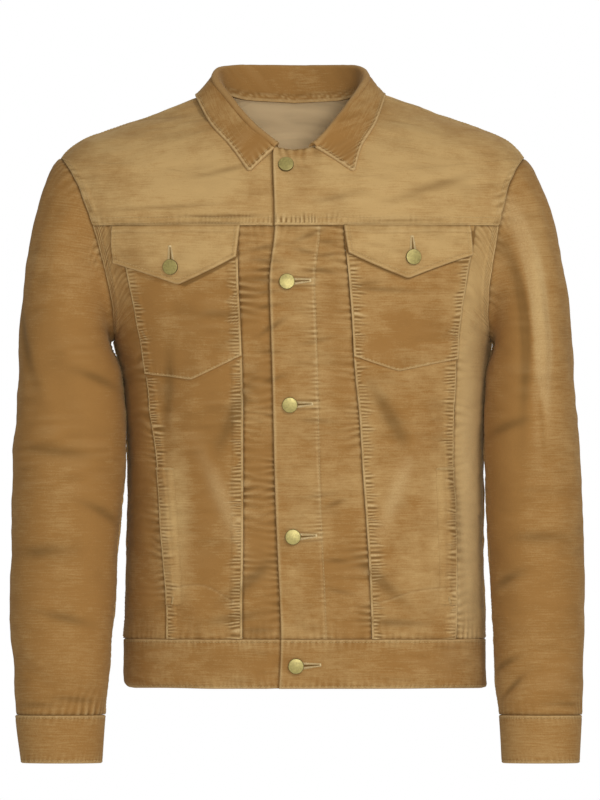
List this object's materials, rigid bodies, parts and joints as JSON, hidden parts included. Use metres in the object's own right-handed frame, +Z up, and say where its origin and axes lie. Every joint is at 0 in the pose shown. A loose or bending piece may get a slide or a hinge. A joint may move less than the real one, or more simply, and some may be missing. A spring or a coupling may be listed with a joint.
{
  "type": "suede trucker jacket in hollow worn form",
  "caption": "Tan napped-suede trucker jacket, buttoned, in hollow worn form, with pointed collar, flap chest pockets, slanted hand pockets, waistband and cuffs.",
  "frame": {"origin": "middle of the shoulder line, inside the neck opening, where a wearer carries the jacket", "axes": "+Z up, the front faces -Y, +X towards the wearer's left"},
  "size_m": [0.6025, 0.2576, 0.7333],
  "materials": {
    "suede": "matte napped suede with faint fine crosswise ribs",
    "suede_light": "matte napped suede, paler",
    "brass": "antique, worn satin"
  },
  "bodies": {
    "root": {"yoke_front_right": "suede", "yoke_front_left": "suede", "yoke_back": "suede", "back_facing": "suede_light", "front_centre_right": "suede", "front_centre_left": "suede", "front_mid_right": "suede", "front_mid_left": "suede", "front_side_right": "suede", "front_side_left": "suede", "back_centre": "suede", "back_side_right": "suede", "back_side_left": "suede", "chest_pocket_right": "suede", "chest_pocket_left": "suede", "pocket_flap_right": "suede", "pocket_flap_left": "suede", "hand_pocket_welt_right": "suede", "hand_pocket_welt_left": "suede", "sleeve_upper_right": "suede", "sleeve_under_right": "suede", "sleeve_upper_left": "suede", "sleeve_under_left": "suede", "cuff_right": "suede", "cuff_left": "suede", "waistband": "suede", "collar": "suede", "front_button_1": "brass", "front_button_2": "brass", "front_button_3": "brass", "front_button_4": "brass", "front_button_5": "brass", "flap_button_right": "brass", "flap_button_left": "brass", "cuff_button_right": "brass", "cuff_button_left": "brass"}
  },
  "joints": []
}
